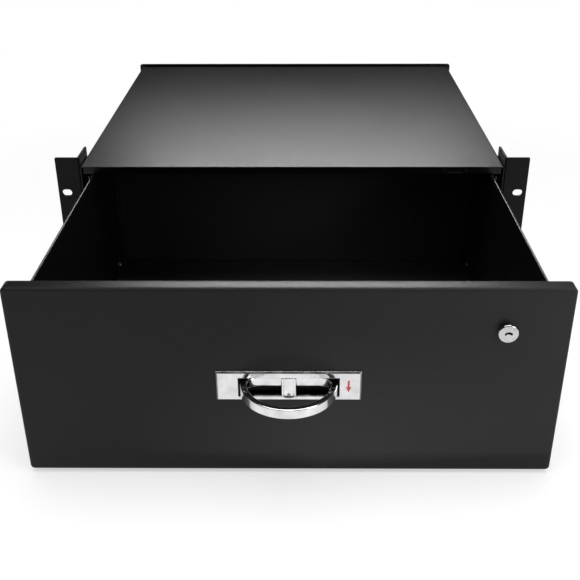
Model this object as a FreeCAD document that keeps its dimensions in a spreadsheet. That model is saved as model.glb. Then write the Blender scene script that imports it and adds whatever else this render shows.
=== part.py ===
import FreeCAD, Part
import math
import os

from FreeCAD import Placement, Rotation, Vector
from Sketcher import Constraint

# Lockable sliding drawer for a 19 inch rack, four rack units high, pulled part way out.
# Millimetres. +Z is up, -Y is the front, +X is the right of someone facing the drawer.
# The origin is the middle of the four rack slots, on the front face of the rack ears.

SIZES = {
    # rack ears
    "ear_span": 482.6, "ear_height": 177.0, "ear_sheet": 2.0, "ear_leg": 36.0,
    "rack_hole_span": 465.1, "rack_hole_rise": 101.6, "slot_length": 10.0, "slot_height": 7.0,
    # case
    "case_width": 433.0, "case_drop": 9.6, "case_depth": 408.0, "case_sheet": 1.2,
    "case_bend": 2.2, "case_lip": 7.5, "case_flange": 14.0, "cover_margin": 3.5,
    "cover_sheet": 1.5,
    # front panel
    "panel_short": 0.8, "panel_inset": 3.25, "panel_sheet": 1.5, "panel_rim": 12.2,
    "panel_corner": 3.5, "panel_bend": 1.4, "pulled_out": 275.1, "shut_gap": 0.6,
    # drawer box
    "slide_room": 10.1, "drawer_sheet": 1.0, "rear_room": 29.3, "drawer_drop": 8.3,
    "hem_height": 10.0, "wall_fit": 0.2, "tab_width": 14.0,
    # slides
    "slide_start": 12.0, "slide_end": 46.0, "slide_rise": 17.5, "rail_half": 13.4,
    "rail_sheet": 1.0, "ball": 1.4, "ball_row": 1.05, "race_fit": 0.05, "cage_length": 100.0,
    # handle
    "bezel_width": 114.4, "bezel_height": 26.8, "bezel_sheet": 2.2, "bezel_lift": 0.8,
    "window_half": 40.0, "window_height": 17.4, "bezel_wall": 1.8, "handle_drop": 1.8,
    "bail_reach": 38.6, "bail_strip": 5.0, "bail_height": 8.4, "bail_back": 10.5,
    "hub": 6.2, "axle": 1.5, "turn_gap": 0.35, "housing_wall": 1.5, "boss": 3.0,
    # lock
    "lock_inset": 49.2, "lock_drop": 36.2, "lock_head": 7.8, "lock_proud": 5.5,
    "lock_barrel": 6.5, "lock_length": 15.2, "plug": 4.6, "plug_face": 5.6, "plug_fit": 0.05,
    "cam_catch": 0.75, "cam_half": 6.0, "cam_sheet": 2.0,
    # fasteners
    "screw": 2.0, "screw_head": 3.7, "screw_head_height": 2.4, "rivet": 2.0, "rivet_head": 3.2,
    "rivet_head_height": 0.8, "hole_fit": 0.05,
}


class Size:
    """A length that carries both its value and the spreadsheet formula behind it."""

    def __init__(self, value, text):
        self.value = value
        self.text = text

    def __add__(self, other):
        other = size(other)
        return Size(self.value + other.value, f"({self.text} + {other.text})")

    def __sub__(self, other):
        other = size(other)
        return Size(self.value - other.value, f"({self.text} - {other.text})")

    def __mul__(self, other):
        other = size(other)
        return Size(self.value * other.value, f"({self.text} * {other.text})")

    def __truediv__(self, other):
        other = size(other)
        return Size(self.value / other.value, f"({self.text} / {other.text})")

    def __neg__(self):
        return Size(-self.value, f"(0 - {self.text})")

    __radd__ = __add__
    __rmul__ = __mul__

    def __rsub__(self, other):
        return size(other) - self


def size(number):
    """Any number as a Size."""
    return number if isinstance(number, Size) else Size(float(number), f"({number})")


os.makedirs("parts", exist_ok=True)
doc = FreeCAD.newDocument("rack_drawer")
sheet = doc.addObject("Spreadsheet::Sheet", "sizes")
for row, (alias, number) in enumerate(SIZES.items(), start=1):
    sheet.set(f"A{row}", alias)
    sheet.set(f"B{row}", str(number))
    sheet.setAlias(f"B{row}", alias)
doc.recompute()


class Named:
    """The spreadsheet's cells as Sizes, by alias."""

    def __getattr__(self, alias):
        return Size(SIZES[alias], f"sizes.{alias}")


s = Named()
NODES = []


# ---------------------------------------------------------------- drawing and building

def node(kind, name):
    """A new document object that becomes one exported sub-part."""
    thing = doc.addObject(kind, name)
    thing.Label = name
    NODES.append(thing)
    return thing


def fix(sketch, kind, *places, length):
    """One driving constraint, bound to its formula."""
    length = size(length)
    index = sketch.addConstraint(Constraint(kind, *places, length.value))
    sketch.setExpression(f"Constraints[{index}]", length.text)


def place_point(sketch, piece, end, x, y):
    fix(sketch, "DistanceX", -1, 1, piece, end, length=x)
    fix(sketch, "DistanceY", -1, 1, piece, end, length=y)


def polygon(sketch, corners):
    """Closed outline through the given corners."""
    points = [Vector(size(x).value, size(y).value, 0) for x, y in corners]
    first = sketch.GeometryCount
    count = len(points)
    for i in range(count):
        sketch.addGeometry(Part.LineSegment(points[i], points[(i + 1) % count]), False)
    for i, (x, y) in enumerate(corners):
        sketch.addConstraint(Constraint("Coincident", first + i - 1 if i else first + count - 1,
                                        2, first + i, 1))
        place_point(sketch, first + i, 1, x, y)


def box(sketch, x0, y0, x1, y1):
    """Rectangle between two opposite corners."""
    polygon(sketch, [(x0, y0), (x1, y0), (x1, y1), (x0, y1)])


def circle(sketch, x, y, radius):
    centre = Vector(size(x).value, size(y).value, 0)
    piece = sketch.addGeometry(Part.Circle(centre, Vector(0, 0, 1), size(radius).value), False)
    place_point(sketch, piece, 3, x, y)
    fix(sketch, "Radius", piece, length=radius)


def obround(sketch, x, y, length, height):
    """Slot with round ends, lying along the sketch's first axis."""
    radius = size(height) / 2
    reach = size(length) / 2 - radius
    axis = Vector(0, 0, 1)
    right = Vector((size(x) + reach).value, size(y).value, 0)
    left = Vector((size(x) - reach).value, size(y).value, 0)
    up = Vector(0, radius.value, 0)
    first = sketch.GeometryCount
    half = math.pi / 2
    sketch.addGeometry(Part.ArcOfCircle(Part.Circle(right, axis, radius.value), -half, half), False)
    sketch.addGeometry(Part.LineSegment(right + up, left + up), False)
    sketch.addGeometry(Part.ArcOfCircle(Part.Circle(left, axis, radius.value), half, 3 * half), False)
    sketch.addGeometry(Part.LineSegment(left - up, right - up), False)
    for a, b in ((0, 1), (1, 2), (2, 3), (3, 0)):
        sketch.addConstraint(Constraint("Tangent", first + a, 2, first + b, 1))
    place_point(sketch, first, 3, size(x) + reach, y)
    place_point(sketch, first + 2, 3, size(x) - reach, y)
    fix(sketch, "Radius", first, length=radius)


def arch(sketch, half_width, low, centre):
    """Straight-sided outline whose far end is a half circle round (0, centre)."""
    radius, middle, foot = size(half_width), size(centre), size(low)
    hub = Vector(0, middle.value, 0)
    first = sketch.GeometryCount
    corners = [Vector(-radius.value, middle.value, 0), Vector(-radius.value, foot.value, 0),
               Vector(radius.value, foot.value, 0), Vector(radius.value, middle.value, 0)]
    bow = Part.ArcOfCircle(Part.Circle(hub, Vector(0, 0, 1), radius.value), 0, math.pi)
    sketch.addGeometry(bow, False)
    for i in range(3):
        sketch.addGeometry(Part.LineSegment(corners[i], corners[i + 1]), False)
    sketch.addConstraint(Constraint("Tangent", first, 2, first + 1, 1))
    sketch.addConstraint(Constraint("Coincident", first + 1, 2, first + 2, 1))
    sketch.addConstraint(Constraint("Coincident", first + 2, 2, first + 3, 1))
    sketch.addConstraint(Constraint("Tangent", first + 3, 2, first, 1))
    sketch.addConstraint(Constraint("Horizontal", first + 2))
    sketch.addConstraint(Constraint("Vertical", first + 1))
    place_point(sketch, first, 3, 0, middle)
    fix(sketch, "Radius", first, length=radius)
    fix(sketch, "DistanceY", -1, 1, first + 2, 1, length=foot)


def bow_cut(sketch, radius, middle, chord):
    """The part of a disc round (0, middle) that lies in front of a chord."""
    radius, middle, chord = size(radius), size(middle), size(chord)
    rise = chord.value - middle.value
    angle = math.asin(rise / radius.value)
    reach = radius.value * math.cos(angle)
    first = sketch.GeometryCount
    ring = Part.Circle(Vector(0, middle.value, 0), Vector(0, 0, 1), radius.value)
    sketch.addGeometry(Part.ArcOfCircle(ring, math.pi - angle, 2 * math.pi + angle), False)
    ends = Vector(reach, chord.value, 0), Vector(-reach, chord.value, 0)
    sketch.addGeometry(Part.LineSegment(*ends), False)
    sketch.addConstraint(Constraint("Coincident", first, 2, first + 1, 1))
    sketch.addConstraint(Constraint("Coincident", first + 1, 2, first, 1))
    sketch.addConstraint(Constraint("Horizontal", first + 1))
    place_point(sketch, first, 3, 0, middle)
    fix(sketch, "Radius", first, length=radius)
    fix(sketch, "DistanceY", -1, 1, first + 1, 1, length=chord)


def drawn(body, plane, low, draw):
    """A sketch on one of the body's own origin planes, moved to the given level."""
    sketch = body.newObject("Sketcher::SketchObject", f"{body.Name}_sketch")
    support = [face for face in body.Origin.OriginFeatures if face.Role == f"{plane}_Plane"][0]
    sketch.AttachmentSupport = (support, [""])
    sketch.MapMode = "FlatFace"
    level = -size(low) if plane == "XZ" else size(low)
    sketch.setExpression("AttachmentOffset.Base.z", level.text)
    draw(sketch)
    return sketch


def extrude(body, kind, plane, low, high, draw):
    """Material, or its removal, between two levels along the plane's world axis."""
    sketch = drawn(body, plane, low, draw)
    feature = body.newObject(f"PartDesign::{kind}", f"{body.Name}_{kind.lower()}")
    feature.Profile = sketch
    feature.Reversed = (kind == "Pocket") != (plane == "XZ")
    feature.setExpression("Length", (size(high) - size(low)).text)
    return feature


def add(body, plane, low, high, draw):
    return extrude(body, "Pad", plane, low, high, draw)


def cut(body, plane, low, high, draw):
    return extrude(body, "Pocket", plane, low, high, draw)


def soften(body, kind, amount, wanted):
    """Fillet or chamfer the edges of the body that the test picks."""
    doc.recompute()
    base = body.Tip
    names = [f"Edge{i}" for i, edge in enumerate(base.Shape.Edges, start=1) if wanted(edge)]
    feature = body.newObject(f"PartDesign::{kind}", f"{body.Name}_{kind.lower()}")
    feature.Base = (base, names)
    feature.setExpression("Radius" if kind == "Fillet" else "Size", size(amount).text)
    return feature


def near(value, target):
    return abs(value - size(target).value) < 0.02


def runs_along(edge, axis, **at):
    """Is this a straight edge along the axis, through the given places?"""
    if not isinstance(edge.Curve, (Part.Line, Part.LineSegment)) or len(edge.Vertexes) < 2:
        return False
    a, b = edge.Vertexes[0].Point, edge.Vertexes[-1].Point
    others = [name for name in "xyz" if name != axis]
    straight = all(abs(getattr(a, name) - getattr(b, name)) < 1e-4 for name in others)
    return straight and all(near(abs(getattr(a, name)), abs(size(place).value))
                            for name, place in at.items())


def copies(name, master, places):
    """One node holding a linked copy of a master at each (x, y, z, rotation)."""
    links = []
    for i, (x, y, z, turn) in enumerate(places):
        link = doc.addObject("App::Link", f"{name}_{i + 1}")
        link.LinkedObject = master
        link.Placement = Placement(Vector(size(x).value, size(y).value, size(z).value), turn)
        for axis, length in zip("xyz", (x, y, z)):
            link.setExpression(f"Placement.Base.{axis}", size(length).text)
        links.append(link)
    group = node("Part::Compound", name)
    group.Links = links
    return group


def facing(x, y, z):
    """Turn that points a fastener's head along the given direction."""
    return Rotation(Vector(0, 0, 1), Vector(x, y, z))


def master_screw(name, length, head=None, head_height=None, shank=None):
    """Pan-head screw with a cross recess: head above z = 0, shank below."""
    head, height = size(head or s.screw_head), size(head_height or s.screw_head_height)
    shank = size(shank or s.screw)
    body = doc.addObject("PartDesign::Body", name)
    add(body, "XY", 0, height, lambda k: circle(k, 0, 0, head))
    soften(body, "Chamfer", height * 0.3, lambda e: near(e.BoundBox.ZMin, height))
    arm = head * 0.55
    for x, y in ((arm, head * 0.12), (head * 0.12, arm)):
        cut(body, "XY", height * 0.45, height + 1, lambda k: box(k, -x, -y, x, y))
    add(body, "XY", -size(length), 0, lambda k: circle(k, 0, 0, shank))
    return body


def master_rivet(name, grip, tail=0.0):
    """Low-headed rivet: head above z = 0, closed end flush or as a thin second head."""
    body = doc.addObject("PartDesign::Body", name)
    height = s.rivet_head_height
    add(body, "XY", 0, height, lambda k: circle(k, 0, 0, s.rivet_head))
    soften(body, "Chamfer", height * 0.5, lambda e: near(e.BoundBox.ZMin, height))
    add(body, "XY", -size(grip), 0, lambda k: circle(k, 0, 0, s.rivet))
    if tail:
        add(body, "XY", -size(grip) - tail, -size(grip), lambda k: circle(k, 0, 0, s.rivet_head))
    return body


def hexagon(sketch, across):
    """Hexagon round the sketch's origin, by its width across flats."""
    corner = size(across) / math.sqrt(3)
    polygon(sketch, [(corner * math.cos(math.radians(60 * i)),
                      corner * math.sin(math.radians(60 * i))) for i in range(6)])


def master_nut(name, across, height, bore):
    body = doc.addObject("PartDesign::Body", name)
    add(body, "XY", 0, height, lambda k: hexagon(k, across))
    cut(body, "XY", -1, size(height) + 1, lambda k: circle(k, 0, 0, bore))
    return body


# ---------------------------------------------------------------- shared places

ground = -s.ear_height / 2
case_top = -ground - s.case_drop
case_side = s.case_width / 2
case_inside = case_side - s.case_sheet
base_top = ground + s.case_sheet * 2
rear = s.case_depth

travel = s.pulled_out - s.panel_rim - s.shut_gap
panel_front = -s.pulled_out
panel_back = panel_front + s.panel_sheet
panel_top = -ground - s.panel_inset
panel_side = case_side - s.panel_short

drawer_side = case_inside - s.slide_room
drawer_inside = drawer_side - s.drawer_sheet
drawer_bottom = -panel_top + s.panel_sheet
drawer_floor = drawer_bottom + s.drawer_sheet
drawer_top = case_top - s.drawer_drop
drawer_rear = rear - s.rear_room - travel
inner_front = panel_back + s.drawer_sheet

slide_level = ground + s.slide_rise
slide_length = rear - s.slide_start - s.slide_end
rack_hole = s.rack_hole_span / 2
rack_hole_up = s.rack_hole_rise / 2

lock_x = panel_side - s.lock_inset
lock_z = panel_top - s.lock_drop

SIDES = (("left", -1), ("right", 1))
first_fixing = s.ear_leg + s.rivet_head + 0.8 - s.slide_start
slide_fixings = [first_fixing, slide_length * 0.51, slide_length * 0.94]
ear_fixings = [s.ear_height * share for share in (-0.226, 0.056, 0.339)]
ear_fixing_depth = s.ear_leg * 0.6


# ---------------------------------------------------------------- case

# Top and both sides folded from one sheet, with turned-in feet, a front lip and rear flanges.
wrapper = node("PartDesign::Body", "case_wrapper")
foot = case_inside - s.case_flange
add(wrapper, "XZ", 0, rear, lambda k: polygon(k, [
    (-case_side, ground), (-foot, ground), (-foot, ground + s.case_sheet),
    (-case_inside, ground + s.case_sheet), (-case_inside, case_top - s.case_sheet),
    (case_inside, case_top - s.case_sheet), (case_inside, ground + s.case_sheet),
    (foot, ground + s.case_sheet), (foot, ground), (case_side, ground),
    (case_side, case_top), (-case_side, case_top)]))
soften(wrapper, "Fillet", s.case_bend, lambda e: runs_along(e, "y", x=case_side))
soften(wrapper, "Fillet", s.case_bend - s.case_sheet,
       lambda e: runs_along(e, "y", x=case_inside))
lip_low = case_top - s.case_lip
add(wrapper, "XZ", 0, s.case_sheet, lambda k: box(
    k, -case_inside + s.case_bend, lip_low, case_inside - s.case_bend, case_top - s.case_sheet / 2))
rear_flange = rear - s.case_sheet
add(wrapper, "XZ", rear_flange, rear, lambda k: box(
    k, -case_inside + s.case_bend, case_top - s.case_flange, case_inside - s.case_bend,
    case_top - s.case_sheet / 2))
for name, side in SIDES:
    add(wrapper, "XZ", rear_flange, rear, lambda k: box(
        k, side * (case_inside - s.case_flange), ground + s.case_flange * 1.5,
        side * (case_inside + s.case_sheet / 2), case_top - s.case_flange * 1.5))

# Floor sheet of the case, laid on the wrapper's feet, with a rear upstand and a front hem.
base = node("PartDesign::Body", "case_base")
base_side = case_inside - (s.case_bend - s.case_sheet) - s.wall_fit
hem_side = foot - s.wall_fit
add(base, "XY", ground + s.case_sheet, base_top,
    lambda k: box(k, -base_side, 0, base_side, rear))
add(base, "XZ", rear_flange, rear, lambda k: box(
    k, -hem_side, ground + s.case_sheet, hem_side, base_top + s.case_flange))
add(base, "XY", ground, ground + s.case_sheet,
    lambda k: box(k, -hem_side, 0, hem_side, s.case_flange))

# Flat rear cover that stands a little proud of the case at the top and sides.
cover = node("PartDesign::Body", "rear_cover")
cover_side = case_side + s.cover_margin
cover_top = case_top + s.cover_margin
add(cover, "XZ", rear, rear + s.cover_sheet,
    lambda k: box(k, -cover_side, ground, cover_side, cover_top))
soften(cover, "Fillet", s.cover_margin, lambda e: runs_along(e, "y", z=cover_top))

screw_columns = (-foot * 0.93, size(0), foot * 0.93)
base_screws = [(x, base_top + s.case_flange * 0.55) for x in screw_columns]
wrapper_screws = [(x, case_top - s.case_flange * 0.55) for x in screw_columns]
wrapper_screws += [(side * (case_inside - s.case_flange * 0.5), size(0)) for _, side in SIDES]
for body, low, high, places in ((cover, rear, rear + s.cover_sheet, base_screws + wrapper_screws),
                                (wrapper, rear_flange, rear, wrapper_screws),
                                (base, rear_flange, rear, base_screws)):
    for x, z in places:
        cut(body, "XZ", low, high, lambda k: circle(k, x, z, s.screw + s.hole_fit))
cover_screw = master_screw("cover_screw", 6.0)
copies("rear_screws", cover_screw, [(x, rear + s.cover_sheet, z, facing(0, 1, 0))
                                    for x, z in base_screws + wrapper_screws])

# Rivets that hold the base to the wrapper's feet, flush underneath.
base_rivet_places = [(side * (case_inside - s.case_flange * 0.45), rear * share)
                     for _, side in SIDES for share in (0.08, 0.36, 0.64, 0.92)]
for x, y in base_rivet_places:
    cut(wrapper, "XY", ground, ground + s.case_sheet,
        lambda k: circle(k, x, y, s.rivet + s.hole_fit))
    cut(base, "XY", ground + s.case_sheet, base_top,
        lambda k: circle(k, x, y, s.rivet + s.hole_fit))
copies("base_rivets", master_rivet("base_rivet", s.case_sheet * 2),
       [(x, y, base_top, facing(0, 0, 1)) for x, y in base_rivet_places])


# ---------------------------------------------------------------- rack ears

for name, side in SIDES:
    ear = node("PartDesign::Body", f"{name}_ear")
    leg_out = case_side + s.ear_sheet
    add(ear, "XY", ground, -ground, lambda k: polygon(k, [
        (side * case_side, 0), (side * s.ear_span / 2, 0), (side * s.ear_span / 2, s.ear_sheet),
        (side * leg_out, s.ear_sheet), (side * leg_out, s.ear_leg), (side * case_side, s.ear_leg)]))
    soften(ear, "Fillet", s.ear_sheet * 0.9,
           lambda e: runs_along(e, "z", x=case_side, y=0))
    soften(ear, "Fillet", s.ear_sheet * 0.6, lambda e: runs_along(e, "z", x=leg_out, y=s.ear_sheet))
    soften(ear, "Fillet", s.ear_sheet * 0.6,
           lambda e: runs_along(e, "y", x=s.ear_span / 2) or runs_along(e, "x", y=s.ear_leg))
    for up in (-1, 1):
        cut(ear, "XZ", 0, s.ear_sheet, lambda k: obround(
            k, side * rack_hole, up * rack_hole_up, s.slot_length, s.slot_height))
    low = case_side if side > 0 else -leg_out
    for z in ear_fixings:
        cut(ear, "YZ", low, low + s.ear_sheet,
            lambda k: circle(k, ear_fixing_depth, z, s.screw + s.hole_fit))
        inner = case_inside if side > 0 else -case_side
        cut(wrapper, "YZ", inner, inner + s.case_sheet,
            lambda k: circle(k, ear_fixing_depth, z, s.screw + s.hole_fit))

nut_height = 3.2
ear_screw = master_screw("ear_screw", s.ear_sheet + s.case_sheet + nut_height)
copies("ear_screws", ear_screw,
       [(side * (case_side + s.ear_sheet), ear_fixing_depth, z, facing(side, 0, 0))
        for _, side in SIDES for z in ear_fixings])
ear_nut = master_nut("ear_nut", 7.0, nut_height, s.screw + s.hole_fit)
copies("ear_nuts", ear_nut,
       [(side * case_inside, ear_fixing_depth, z, facing(-side, 0, 0))
        for _, side in SIDES for z in ear_fixings])


# ---------------------------------------------------------------- lock strike

# Wear plate behind the case's front lip; the lock's cam turns up behind it.
strike_half = s.lock_head * 1.7
strike_sheet = 1.0
strike_mid = (lip_low + case_top - s.case_sheet) / 2
strike = node("PartDesign::Body", "lock_strike")
add(strike, "XZ", s.case_sheet, s.case_sheet + strike_sheet, lambda k: box(
    k, lock_x - strike_half, lip_low + s.wall_fit,
    lock_x + strike_half, case_top - s.case_sheet - s.wall_fit))
cut(wrapper, "XZ", 0, s.case_sheet, lambda k: box(
    k, lock_x - s.cam_half * 1.2, strike_mid - 1.7,
    lock_x + s.cam_half * 1.2, strike_mid + 1.7))
strike_rivet = doc.addObject("PartDesign::Body", "strike_rivet")
add(strike_rivet, "XY", 0, 0.4, lambda k: circle(k, 0, 0, 1.8))
add(strike_rivet, "XY", -(s.case_sheet + strike_sheet), 0, lambda k: circle(k, 0, 0, 1.2))
strike_places = [lock_x + side * (strike_half - 2.4) for _, side in SIDES]
for x in strike_places:
    cut(wrapper, "XZ", 0, s.case_sheet, lambda k: circle(k, x, strike_mid, 1.2 + s.hole_fit))
    cut(strike, "XZ", s.case_sheet, s.case_sheet + strike_sheet,
        lambda k: circle(k, x, strike_mid, 1.2 + s.hole_fit))
copies("strike_rivets", strike_rivet,
       [(x, 0, strike_mid, facing(0, -1, 0)) for x in strike_places])


# ---------------------------------------------------------------- slides

# Three-part ball slide: the outer rail on the case, the inner one on the drawer, and between
# them a middle rail that travels half as far. Levels below are half heights from the slide's axis.
outer_face = s.rail_half - s.rail_sheet
outer_row = outer_face - s.ball_row
middle_out = outer_row - s.ball_row
middle_in = middle_out - s.rail_sheet
inner_row = middle_in - s.ball_row
inner_out = inner_row - s.ball_row
inner_in = inner_out - s.rail_sheet

outer_web = case_inside - s.rail_sheet
outer_lip = drawer_side + s.slide_room * 0.22
middle_web = drawer_side + s.slide_room * 0.685
middle_web_out = middle_web + s.rail_sheet * 0.8
middle_lip = drawer_side + s.slide_room * 0.15
inner_web = drawer_side + s.rail_sheet
inner_lip = drawer_side + s.slide_room * 0.52
outer_balls = drawer_side + s.slide_room * 0.61
inner_balls = drawer_side + s.slide_room * 0.36
cage_sheet = 0.4
outer_cage_web = (middle_web_out + outer_web) / 2 + cage_sheet / 2
inner_cage_web = (inner_lip + middle_web) / 2 + cage_sheet / 2

case_end = s.slide_start + slide_length
middle_start = s.slide_start - travel / 2
inner_start = s.slide_start - travel
cage_mid = (s.slide_start + case_end) / 2
race = s.ball + s.race_fit


def rail(name, side, start, length, web, web_back, lip, high, sheet_high):
    """C-shaped strip: its web between web and web_back, its flanges reaching to lip."""
    body = node("PartDesign::Body", name)
    add(body, "XZ", start, start + length, lambda k: polygon(k, [
        (side * web_back, slide_level - high), (side * web_back, slide_level + high),
        (side * lip, slide_level + high), (side * lip, slide_level + sheet_high),
        (side * web, slide_level + sheet_high), (side * web, slide_level - sheet_high),
        (side * lip, slide_level - sheet_high), (side * lip, slide_level - high)]))
    soften(body, "Fillet", (high - sheet_high) * 0.95,
           lambda e: any(runs_along(e, "y", x=web_back, z=slide_level + up * high)
                         for up in (-1, 1)))
    return body


def raceway(body, start, length, x, row):
    """Ball grooves above and below the slide's axis, along the whole rail."""
    for up in (-1, 1):
        cut(body, "XZ", start, start + length, lambda k: circle(k, x, slide_level + up * row, race))


def cage(name, side, middle, web_back, lip, x, row):
    """Folded ball cage with three ball holes in each flange, and the balls in them."""
    length = s.cage_length
    start = middle - length / 2
    half = cage_sheet / 2
    body = rail(name, side, start, length, web_back - cage_sheet, web_back, lip,
                row + half, row - half)
    places = [middle + length * share for share in (-0.4, 0.0, 0.4)]
    for up in (-1, 1):
        level = slide_level + up * row
        for y in places:
            cut(body, "XY", level - half * 1.5, level + half * 1.5,
                lambda k: circle(k, side * x, y, s.ball + s.race_fit * 2))
    balls = []
    for up in (-1, 1):
        for i, y in enumerate(places):
            ball = doc.addObject("Part::Sphere", f"{name}_ball")
            ball.setExpression("Radius", s.ball.text)
            for axis, place in zip("xyz", (side * x, y, slide_level + up * row)):
                ball.setExpression(f"Placement.Base.{axis}", size(place).text)
            balls.append(ball)
    group = node("Part::Compound", name.replace("ball_cage", "balls"))
    group.Links = balls


for name, side in SIDES:
    length = slide_length
    outer = rail(f"{name}_outer_rail", side, s.slide_start, length, outer_web, case_inside,
                 outer_lip, s.rail_half, outer_face)
    raceway(outer, s.slide_start, length, side * outer_balls, outer_row)
    middle = rail(f"{name}_middle_rail", side, middle_start, length, middle_web, middle_web_out,
                  middle_lip, middle_out, middle_in)
    raceway(middle, middle_start, length, side * outer_balls, outer_row)
    raceway(middle, middle_start, length, side * inner_balls, inner_row)
    inner = rail(f"{name}_inner_rail", side, inner_start, length, inner_web, drawer_side,
                 inner_lip, inner_out, inner_in)
    raceway(inner, inner_start, length, side * inner_balls, inner_row)
    cage(f"{name}_outer_ball_cage", side, cage_mid - travel / 4, outer_cage_web,
         outer_lip + 0.4, outer_balls, outer_row)
    cage(f"{name}_inner_ball_cage", side, cage_mid - travel * 0.75, inner_cage_web,
         middle_lip + 0.1, inner_balls, inner_row)
    for y in slide_fixings:
        low = outer_web if side > 0 else -case_side
        for body in (outer, wrapper):
            cut(body, "YZ", low, low + s.rail_sheet + s.case_sheet,
                lambda k: circle(k, s.slide_start + y, slide_level, s.rivet + s.hole_fit))

slide_rivet = master_rivet("slide_rivet", s.case_sheet + s.rail_sheet)
copies("slide_rivets", slide_rivet,
       [(side * case_side, s.slide_start + y, slide_level, facing(side, 0, 0))
        for _, side in SIDES for y in slide_fixings])

# Rubber blocks that the moving rails come up against when the drawer shuts.
for name, side in SIDES:
    buffer = node("PartDesign::Body", f"{name}_rail_buffer")
    add(buffer, "XY", slide_level - middle_in, slide_level + middle_in, lambda k: box(
        k, side * case_inside, case_end + s.shut_gap / 2,
        side * (drawer_side + s.shut_gap), case_end + s.shut_gap / 2 + 6.0))
    soften(buffer, "Chamfer", 1.0, lambda e: runs_along(e, "z", x=drawer_side + s.shut_gap))


# ---------------------------------------------------------------- drawer box

# Floor and both sides folded from one sheet, the tops of the sides hemmed over inwards.
tray = node("PartDesign::Body", "drawer_tray")
hem = drawer_side - s.drawer_sheet * 2
hem_low = drawer_top - s.hem_height
add(tray, "XZ", panel_back, drawer_rear, lambda k: polygon(k, [
    (-drawer_side, drawer_bottom), (drawer_side, drawer_bottom), (drawer_side, drawer_top),
    (hem, drawer_top), (hem, hem_low), (drawer_inside, hem_low), (drawer_inside, drawer_floor),
    (-drawer_inside, drawer_floor), (-drawer_inside, hem_low), (-hem, hem_low),
    (-hem, drawer_top), (-drawer_side, drawer_top)]))
soften(tray, "Fillet", s.drawer_sheet * 0.85, lambda e: runs_along(e, "y", z=drawer_top))
tab_low = drawer_floor + s.tab_width
tab_high = hem_low - s.tab_width / 2
for name, side in SIDES:
    add(tray, "XZ", inner_front, inner_front + s.drawer_sheet, lambda k: box(
        k, side * (drawer_inside - s.tab_width), tab_low,
        side * (drawer_inside + s.drawer_sheet / 2), tab_high))

# Inner front wall, between the sides and flat against the panel.
front = node("PartDesign::Body", "drawer_front")
wall_side = drawer_inside - s.wall_fit
add(front, "XZ", panel_back, inner_front, lambda k: polygon(k, [
    (-wall_side, drawer_floor), (wall_side, drawer_floor), (wall_side, hem_low - s.wall_fit),
    (hem - s.wall_fit, hem_low - s.wall_fit), (hem - s.wall_fit, drawer_top),
    (-hem + s.wall_fit, drawer_top), (-hem + s.wall_fit, hem_low - s.wall_fit),
    (-wall_side, hem_low - s.wall_fit)]))

# Rear wall with flanges along the floor and both sides, and a hemmed top edge.
back = node("PartDesign::Body", "drawer_back")
back_face = drawer_rear - s.drawer_sheet
back_flange = back_face - s.tab_width
add(back, "XZ", back_face, drawer_rear, lambda k: polygon(k, [
    (-wall_side, drawer_floor), (wall_side, drawer_floor), (wall_side, hem_low - s.wall_fit),
    (hem - s.wall_fit, hem_low - s.wall_fit), (hem - s.wall_fit, drawer_top),
    (-hem + s.wall_fit, drawer_top), (-hem + s.wall_fit, hem_low - s.wall_fit),
    (-wall_side, hem_low - s.wall_fit)]))
add(back, "XZ", back_face - s.drawer_sheet, back_face, lambda k: box(
    k, -hem + s.wall_fit, hem_low, hem - s.wall_fit, drawer_top))
for name, side in SIDES:
    add(back, "XY", tab_low, tab_high, lambda k: box(
        k, side * wall_side, back_flange, side * (wall_side - s.drawer_sheet), back_face))
add(back, "XY", drawer_floor, drawer_floor + s.drawer_sheet, lambda k: box(
    k, -wall_side + s.tab_width, back_flange, wall_side - s.tab_width, back_face))

back_levels = [tab_low + (tab_high - tab_low) * share for share in (0.3, 0.6, 0.9)]
floor_spots = [wall_side * share for share in (-0.7, 0.0, 0.7)]
back_depth = back_face - s.tab_width / 2
for z in back_levels:
    for _, side in SIDES:
        inner = drawer_inside - s.wall_fit - s.drawer_sheet
        low = inner if side > 0 else -drawer_side
        for body in (tray, back):
            cut(body, "YZ", low, low + s.drawer_sheet * 2 + s.wall_fit,
                lambda k: circle(k, back_depth, z, s.rivet + s.hole_fit))
for x in floor_spots:
    for body in (tray, back):
        cut(body, "XY", drawer_bottom, drawer_floor + s.drawer_sheet,
            lambda k: circle(k, x, back_depth, s.rivet + s.hole_fit))
side_rivet = master_rivet("side_rivet", s.drawer_sheet * 2 + s.wall_fit)
floor_rivet = master_rivet("floor_rivet", s.drawer_sheet * 2)
copies("back_side_rivets", side_rivet,
       [(side * (wall_side - s.drawer_sheet), back_depth, z, facing(-side, 0, 0))
        for _, side in SIDES for z in back_levels])
copies("back_floor_rivets", floor_rivet,
       [(x, back_depth, drawer_floor + s.drawer_sheet, facing(0, 0, 1)) for x in floor_spots])

# Screws from inside the drawer into the inner rails.
rail_screw = master_screw("rail_screw", s.drawer_sheet + s.rail_sheet + 1.4)
for name, side in SIDES:
    rail_body = doc.getObject(f"{name}_inner_rail")
    low = drawer_inside if side > 0 else -inner_web
    for y in slide_fixings:
        for body in (tray, rail_body):
            cut(body, "YZ", low, low + s.drawer_sheet + s.rail_sheet,
                lambda k: circle(k, inner_start + y, slide_level, s.screw + s.hole_fit))
copies("rail_screws", rail_screw,
       [(side * drawer_inside, inner_start + y, slide_level, facing(-side, 0, 0))
        for _, side in SIDES for y in slide_fixings])


# ---------------------------------------------------------------- front panel

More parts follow.
